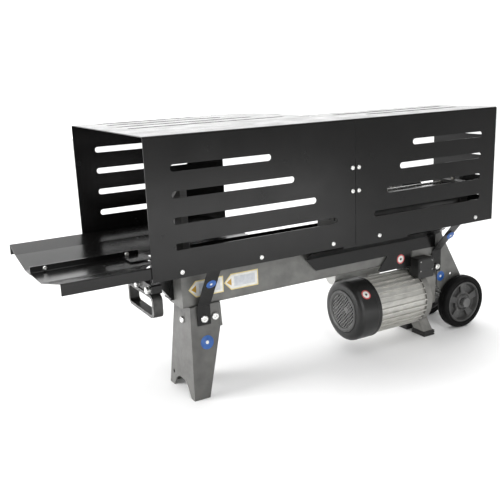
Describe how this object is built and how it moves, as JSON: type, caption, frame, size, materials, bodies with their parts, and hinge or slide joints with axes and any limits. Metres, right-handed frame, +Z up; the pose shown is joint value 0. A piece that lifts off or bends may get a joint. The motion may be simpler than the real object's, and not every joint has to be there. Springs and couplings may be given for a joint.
{
  "type": "log splitter",
  "caption": "Horizontal electric log splitter: slotted guard hood over a hydraulic ram and wedge on a beam, with out-feed tray, motor, pump, front leg and rear wheels.",
  "frame": {"origin": "middle of the outer box, on the ground", "axes": "+X along the beam from the out-feed tray towards the wheels, +Y from the near guard panel to the far one, +Z up"},
  "size_m": [1.199, 0.4986, 0.613],
  "materials": {
    "black_paint": "semi-gloss black powder coat",
    "grey_paint": "silver-grey hammered paint",
    "zinc": "bright zinc plating",
    "chrome": "hard chrome",
    "steel": "machined steel",
    "aluminium": "bare die-cast aluminium",
    "cast_grey": "grey painted casting",
    "black_plastic": "moulded black plastic",
    "rubber": "matt rubber",
    "tyre": "solid rubber tyre",
    "green_plastic": "green button cap",
    "red_plastic": "red button cap"
  },
  "bodies": {
    "frame": {"guard_left_hood": "black_paint", "guard_right_hood": "black_paint", "guard_joining_plates": "black_paint", "tray_near": "black_paint", "tray_far": "black_paint", "bed_wing_near": "black_paint", "bed_wing_far": "black_paint", "support_brackets": "black_paint", "end_bracket": "black_paint", "side_shroud": "black_paint", "lever_guard": "black_paint", "handle_loop": "black_paint", "beam": "grey_paint", "bed_plate": "grey_paint", "front_leg": "grey_paint", "leg_bracket": "grey_paint", "axle_plates": "grey_paint", "wedge": "grey_paint", "cylinder_tube": "grey_paint", "cylinder_heads": "grey_paint", "guard_screws": "zinc", "frame_bolts": "zinc", "tie_rods": "zinc", "hydraulic_pipes": "zinc", "axle": "zinc", "lever_pin": "zinc", "spool_spring": "steel", "bearings": "steel", "stator": "steel", "motor_housing": "aluminium", "capacitor": "aluminium", "motor_flange": "cast_grey", "rear_shield": "cast_grey", "pump_casing": "cast_grey", "valve_block": "cast_grey", "fan_cover": "black_plastic", "terminal_box": "black_plastic", "switch_box": "black_plastic", "axle_caps": "black_plastic", "filler_plug": "black_plastic", "foot_pads": "rubber"},
    "ram": {"piston": "steel", "piston_seal": "rubber", "piston_rod": "chrome", "pusher": "grey_paint", "pusher_shoes": "black_paint"},
    "lever": {"control_lever": "steel", "lever_knob": "black_plastic"},
    "spool_body": {"spool": "steel"},
    "start_button_body": {"start_button": "green_plastic"},
    "stop_button_body": {"stop_button": "red_plastic"},
    "wheel_near": {"wheel_near_tyre": "tyre", "wheel_near_hub": "black_plastic"},
    "wheel_far": {"wheel_far_tyre": "tyre", "wheel_far_hub": "black_plastic"},
    "motor_rotor": {"rotor": "steel", "motor_shaft": "steel", "fan": "black_plastic", "drive_gear": "steel"},
    "pump_idler": {"driven_gear": "steel"}
  },
  "joints": [
    {"name": "ram_extend", "type": "slide", "parent": "frame", "child": "ram", "axis": [-1, 0, 0], "range_m": [0, 0.32]},
    {"name": "lever_tilt", "type": "hinge", "parent": "frame", "child": "lever", "pos_m": [0.3485, -0.07, 0.412], "axis": [0, -1, 0], "range_deg": [0, 20], "stiffness_Nm_per_rad": 2, "springref_deg": -5.73},
    {"name": "spool_travel", "type": "slide", "parent": "frame", "child": "spool_body", "axis": [0, 0, -1], "range_m": [0, 0.0052], "deforming": ["spool_spring"]},
    {"name": "start_press", "type": "slide", "parent": "frame", "child": "start_button_body", "axis": [0, -1, 0], "range_m": [0, 0.004], "stiffness_N_per_m": 300, "springref_m": -0.002},
    {"name": "stop_press", "type": "slide", "parent": "frame", "child": "stop_button_body", "axis": [0, -1, 0], "range_m": [0, 0.004], "stiffness_N_per_m": 300, "springref_m": -0.002},
    {"name": "wheel_near_spin", "type": "hinge", "parent": "frame", "child": "wheel_near", "pos_m": [0.5245, -0.2055, 0.075], "axis": [0, 1, 0], "continuous": true},
    {"name": "wheel_far_spin", "type": "hinge", "parent": "frame", "child": "wheel_far", "pos_m": [0.5245, -0.0765, 0.075], "axis": [0, 1, 0], "continuous": true},
    {"name": "motor_spin", "type": "hinge", "parent": "frame", "child": "motor_rotor", "pos_m": [0.2945, -0.154, 0.107], "axis": [1, 0, 0], "continuous": true},
    {"name": "pump_idler_spin", "type": "hinge", "parent": "frame", "child": "pump_idler", "pos_m": [0.4305, -0.154, 0.137], "axis": [1, 0, 0], "continuous": true}
  ],
  "couplings": [
    {"joint": "spool_travel", "follows": "lever_tilt", "m_per_rad": 0.0143},
    {"joint": "pump_idler_spin", "follows": "motor_spin", "ratio": -1}
  ]
}
